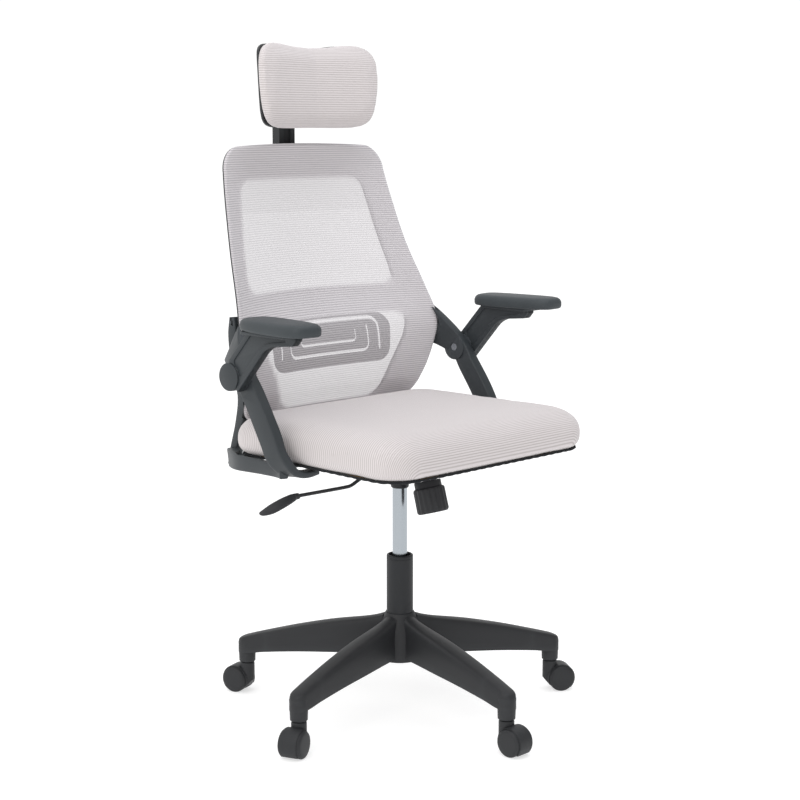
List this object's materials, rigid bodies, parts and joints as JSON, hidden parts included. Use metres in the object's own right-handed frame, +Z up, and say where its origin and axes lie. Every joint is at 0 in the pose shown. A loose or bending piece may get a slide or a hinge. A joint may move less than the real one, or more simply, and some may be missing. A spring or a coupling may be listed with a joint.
{
  "type": "office chair",
  "caption": "Swivelling task chair with a mesh back, headrest, flip-up arms, tilt mechanism, gas lift and a star base on twin-wheel casters.",
  "frame": {"origin": "on the floor, under the middle of the chair's bounding box", "axes": "+Z up, the sitter faces -Y, +X is the sitter's left"},
  "size_m": [0.712, 0.6862, 1.2493],
  "materials": {
    "black_nylon": "fine moulded texture",
    "charcoal_nylon": "fine moulded texture",
    "black_steel": "matt powder coat",
    "chrome_steel": "ground and plated",
    "spring_steel": "drawn wire",
    "soft_pad": "satin moulded skin",
    "seat_fabric": "ribbed knit",
    "headrest_fabric": "ribbed knit",
    "mesh_fabric": "open ribbed mesh",
    "plywood": "pressed veneer",
    "under_cloth": "non-woven cloth"
  },
  "bodies": {
    "base": {"star_base": "black_nylon", "column_tube": "black_steel", "column_bush": "black_nylon"},
    "caster_1": {"caster_1_hood": "black_nylon", "caster_1_stem": "chrome_steel"},
    "caster_1_wheels": {"caster_1_axle": "chrome_steel", "caster_1_wheel_left": "black_nylon", "caster_1_wheel_right": "black_nylon"},
    "caster_2": {"caster_2_hood": "black_nylon", "caster_2_stem": "chrome_steel"},
    "caster_2_wheels": {"caster_2_axle": "chrome_steel", "caster_2_wheel_left": "black_nylon", "caster_2_wheel_right": "black_nylon"},
    "caster_3": {"caster_3_hood": "black_nylon", "caster_3_stem": "chrome_steel"},
    "caster_3_wheels": {"caster_3_axle": "chrome_steel", "caster_3_wheel_left": "black_nylon", "caster_3_wheel_right": "black_nylon"},
    "caster_4": {"caster_4_hood": "black_nylon", "caster_4_stem": "chrome_steel"},
    "caster_4_wheels": {"caster_4_axle": "chrome_steel", "caster_4_wheel_left": "black_nylon", "caster_4_wheel_right": "black_nylon"},
    "caster_5": {"caster_5_hood": "black_nylon", "caster_5_stem": "chrome_steel"},
    "caster_5_wheels": {"caster_5_axle": "chrome_steel", "caster_5_wheel_left": "black_nylon", "caster_5_wheel_right": "black_nylon"},
    "lift_core": {"piston_rod": "chrome_steel"},
    "lift_column": {"gas_cylinder": "chrome_steel", "mechanism_housing": "black_steel", "tilt_axle": "chrome_steel", "tilt_spring": "spring_steel"},
    "release_button": {"release_button": "spring_steel"},
    "lever_slider": {"lever_bush": "black_nylon"},
    "lever": {"lever_rod": "black_steel", "lever_paddle": "black_nylon"},
    "seat": {"mechanism_plate": "black_steel", "tension_bolt": "spring_steel", "seat_board": "plywood", "seat_under_cover": "under_cloth", "seat_cushion": "seat_fabric", "side_frame_left": "charcoal_nylon", "side_frame_right": "charcoal_nylon", "pivot_bolt_left": "chrome_steel", "pivot_bolt_right": "chrome_steel", "back_frame": "black_nylon", "back_mesh": "mesh_fabric", "lumbar_pad": "black_nylon", "headrest_bracket": "black_nylon"},
    "tension_knob": {"tension_knob": "black_nylon"},
    "arm_left": {"arm_left": "charcoal_nylon", "arm_pad_left": "soft_pad", "pivot_cap_left": "charcoal_nylon"},
    "arm_right": {"arm_right": "charcoal_nylon", "arm_pad_right": "soft_pad", "pivot_cap_right": "charcoal_nylon"},
    "headrest_post": {"headrest_post": "black_nylon"},
    "headrest": {"headrest_shell": "black_nylon", "headrest_cushion": "headrest_fabric"}
  },
  "joints": [
    {"name": "caster_1_swivel", "type": "hinge", "parent": "base", "child": "caster_1", "pos_m": [0.2176, 0.2342, 0.075], "axis": [0, 0, 1], "continuous": true},
    {"name": "caster_1_roll", "type": "hinge", "parent": "caster_1", "child": "caster_1_wheels", "pos_m": [0.22759, 0.25152, 0.025], "axis": [-0.866, 0.5, 0], "continuous": true},
    {"name": "caster_2_swivel", "type": "hinge", "parent": "base", "child": "caster_2", "pos_m": [-0.14408, 0.28761, 0.075], "axis": [0, 0, 1], "continuous": true},
    {"name": "caster_2_roll", "type": "hinge", "parent": "caster_2", "child": "caster_2_wheels", "pos_m": [-0.15027, 0.30663, 0.025], "axis": [-0.9511, -0.309, 0], "continuous": true},
    {"name": "caster_3_swivel", "type": "hinge", "parent": "base", "child": "caster_3", "pos_m": [-0.30665, -0.03986, 0.075], "axis": [0, 0, 1], "continuous": true},
    {"name": "caster_3_roll", "type": "hinge", "parent": "caster_3", "child": "caster_3_wheels", "pos_m": [-0.32532, -0.04703, 0.025], "axis": [0.3584, -0.9336, 0], "continuous": true},
    {"name": "caster_4_swivel", "type": "hinge", "parent": "base", "child": "caster_4", "pos_m": [-0.04543, -0.29566, 0.075], "axis": [0, 0, 1], "continuous": true},
    {"name": "caster_4_roll", "type": "hinge", "parent": "caster_4", "child": "caster_4_wheels", "pos_m": [-0.04543, -0.31566, 0.025], "axis": [1, 0, 0], "continuous": true},
    {"name": "caster_5_swivel", "type": "hinge", "parent": "base", "child": "caster_5", "pos_m": [0.27857, -0.12628, 0.075], "axis": [0, 0, 1], "continuous": true},
    {"name": "caster_5_roll", "type": "hinge", "parent": "caster_5", "child": "caster_5_wheels", "pos_m": [0.29515, -0.13747, 0.025], "axis": [0.5592, 0.829, 0], "continuous": true},
    {"name": "seat_swivel", "type": "hinge", "parent": "base", "child": "lift_core", "pos_m": [0, 0.012, 0.11], "axis": [0, 0, 1], "continuous": true},
    {"name": "height_slide", "type": "slide", "parent": "lift_core", "child": "lift_column", "axis": [0, 0, 1], "range_m": [-0.12, 0]},
    {"name": "seat_tilt", "type": "hinge", "parent": "lift_column", "child": "seat", "pos_m": [0, -0.022, 0.474], "axis": [-1, 0, 0], "range_deg": [0, 12], "stiffness_Nm_per_rad": 120, "springref_deg": -17.19, "deforming": ["tilt_spring"]},
    {"name": "tension_turn", "type": "hinge", "parent": "seat", "child": "tension_knob", "pos_m": [0, -0.059, 0.446], "axis": [0, 0.2756, 0.9613], "range_deg": [-540, 540]},
    {"name": "lever_pull", "type": "slide", "parent": "lift_column", "child": "lever_slider", "axis": [-1, 0, 0], "range_m": [0, 0.015]},
    {"name": "lever_lift", "type": "hinge", "parent": "lever_slider", "child": "lever", "pos_m": [-0.035, 0.012, 0.4756], "axis": [0, 1, 0], "range_deg": [0, 4]},
    {"name": "button_press", "type": "slide", "parent": "lift_column", "child": "release_button", "axis": [0, 0, 1], "range_m": [-0.0026, 0]},
    {"name": "arm_left_flip", "type": "hinge", "parent": "seat", "child": "arm_left", "pos_m": [0.3, 0.127, 0.655], "axis": [-1, 0, 0], "range_deg": [0, 90]},
    {"name": "arm_right_flip", "type": "hinge", "parent": "seat", "child": "arm_right", "pos_m": [-0.3, 0.127, 0.655], "axis": [-1, 0, 0], "range_deg": [0, 90]},
    {"name": "headrest_slide", "type": "slide", "parent": "seat", "child": "headrest_post", "axis": [0, 0, 1], "range_m": [0, 0.03]},
    {"name": "headrest_tilt", "type": "hinge", "parent": "headrest_post", "child": "headrest", "pos_m": [0, 0.314, 1.168], "axis": [1, 0, 0], "range_deg": [-15, 20]}
  ],
  "couplings": [
    {"joint": "button_press", "follows": "lever_lift", "m_per_rad": -0.035}
  ]
}
